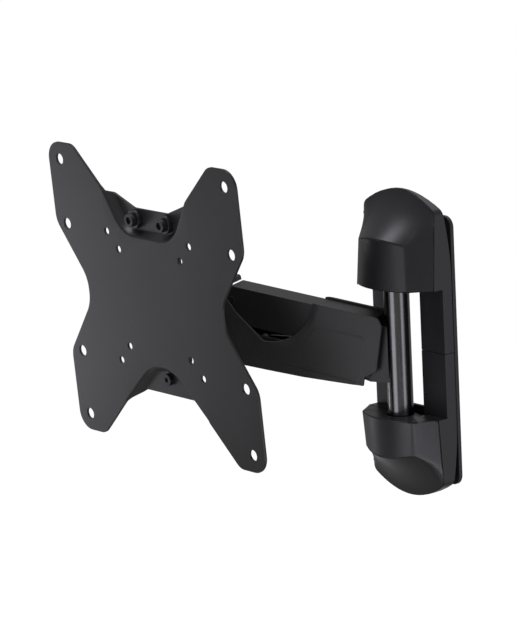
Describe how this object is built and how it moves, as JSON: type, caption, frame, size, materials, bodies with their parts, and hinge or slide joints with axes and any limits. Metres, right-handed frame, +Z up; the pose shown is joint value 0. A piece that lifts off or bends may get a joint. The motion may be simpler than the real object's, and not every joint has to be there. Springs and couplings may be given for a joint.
{
  "type": "full motion tv wall mount",
  "caption": "Full motion wall mount for a small TV: X-shaped screen plate on a tilting, swivelling head, a spring arm on a parallelogram linkage, and a swivel post on a wall unit",
  "frame": {"origin": "centre of the four wall screw holes, in the plane where the wall plate meets the wall", "axes": "+X to the right facing the wall, +Y into the wall, +Z up; the arm and the screen plate are on the -Y side"},
  "size_m": [0.2925, 0.1478, 0.2579],
  "materials": {
    "wall_steel": "fine textured black powder coat on pressed steel",
    "screen_steel": "smooth satin black powder coat",
    "arm_steel": "satin black powder coat on folded steel",
    "cast_black": "satin black paint on cast metal",
    "post_chrome": "polished black chrome",
    "trim_plastic": "finely textured black plastic",
    "arm_plastic": "pebbled black plastic",
    "zinc": "zinc plated steel",
    "black_fastener": "black oxide steel",
    "acetal": "black acetal",
    "rod_steel": "ground and plated rod"
  },
  "bodies": {
    "wall_unit": {"wall_plate": "wall_steel", "upper_post_bracket": "wall_steel", "lower_post_bracket": "wall_steel", "bracket_bolts": "zinc", "upper_post_bush": "acetal", "lower_post_bush": "acetal", "upper_surround": "trim_plastic", "lower_surround": "trim_plastic", "upper_cover": "trim_plastic", "lower_cover": "trim_plastic"},
    "post": {"post_tube": "post_chrome", "post_collars": "zinc", "rear_bracket": "arm_steel", "rear_pivot_pins": "zinc", "rear_washers": "acetal", "tension_screw": "zinc", "tension_trunnion": "zinc"},
    "upper_arm": {"upper_link": "arm_steel"},
    "lower_arm": {"lower_link": "arm_steel", "room_side_arm_cover": "arm_plastic", "wall_side_arm_cover": "arm_plastic", "spring_pin": "zinc"},
    "spring_cylinder": {"gas_spring_cylinder": "black_fastener"},
    "spring_rod": {"gas_spring_rod": "rod_steel"},
    "front_knuckle": {"knuckle": "cast_black", "front_pivot_pins": "black_fastener", "front_washers": "acetal"},
    "head": {"tilt_yoke": "cast_black", "swivel_pin": "zinc", "swivel_cap": "trim_plastic", "swivel_washers": "acetal"},
    "screen_mount": {"head_bracket": "arm_steel", "tilt_bolt": "zinc", "tilt_nut": "zinc", "tilt_washers": "acetal", "screen_plate": "screen_steel", "upper_plate_bolts": "black_fastener", "plate_spacers": "black_fastener", "lower_plate_screw": "black_fastener"}
  },
  "joints": [
    {"name": "post_swivel", "type": "hinge", "parent": "wall_unit", "child": "post", "pos_m": [0, -0.0226, 0], "axis": [0, 0, 1], "range_deg": [-10, 130]},
    {"name": "arm_lift", "type": "hinge", "parent": "post", "child": "lower_arm", "pos_m": [-0.02337, -0.034, -0.014], "axis": [-0.4384, 0.8988, 0], "range_deg": [-31, 13]},
    {"name": "upper_link_pivot", "type": "hinge", "parent": "post", "child": "upper_arm", "pos_m": [-0.02337, -0.034, 0.016], "axis": [-0.4384, 0.8988, 0], "range_deg": [-31, 13]},
    {"name": "knuckle_pivot", "type": "hinge", "parent": "lower_arm", "child": "front_knuckle", "pos_m": [-0.11559, -0.07898, 0.00299], "axis": [-0.4384, 0.8988, 0], "range_deg": [-13, 31]},
    {"name": "spring_pivot", "type": "hinge", "parent": "lower_arm", "child": "spring_cylinder", "pos_m": [-0.09963, -0.07119, 0.00005], "axis": [-0.4384, 0.8988, 0], "range_deg": [-1.5, 3.2]},
    {"name": "spring_stroke", "type": "slide", "parent": "spring_cylinder", "child": "spring_rod", "axis": [0.8986, 0.4383, -0.022], "range_m": [-0.003, 0.0062]},
    {"name": "head_swivel", "type": "hinge", "parent": "front_knuckle", "child": "head", "pos_m": [-0.1385, -0.09015, 0], "axis": [0, 0, -1], "range_deg": [-20, 140]},
    {"name": "screen_tilt", "type": "hinge", "parent": "head", "child": "screen_mount", "pos_m": [-0.1385, -0.11635, 0.0362], "axis": [1, 0, 0], "range_deg": [-19.3, 10.7]}
  ],
  "couplings": [
    {"joint": "upper_link_pivot", "follows": "arm_lift", "ratio": 1},
    {"joint": "knuckle_pivot", "follows": "arm_lift", "ratio": -1},
    {"joint": "spring_pivot", "follows": "arm_lift", "ratio": -0.097},
    {"joint": "spring_stroke", "follows": "arm_lift", "m_per_rad": -0.011}
  ]
}
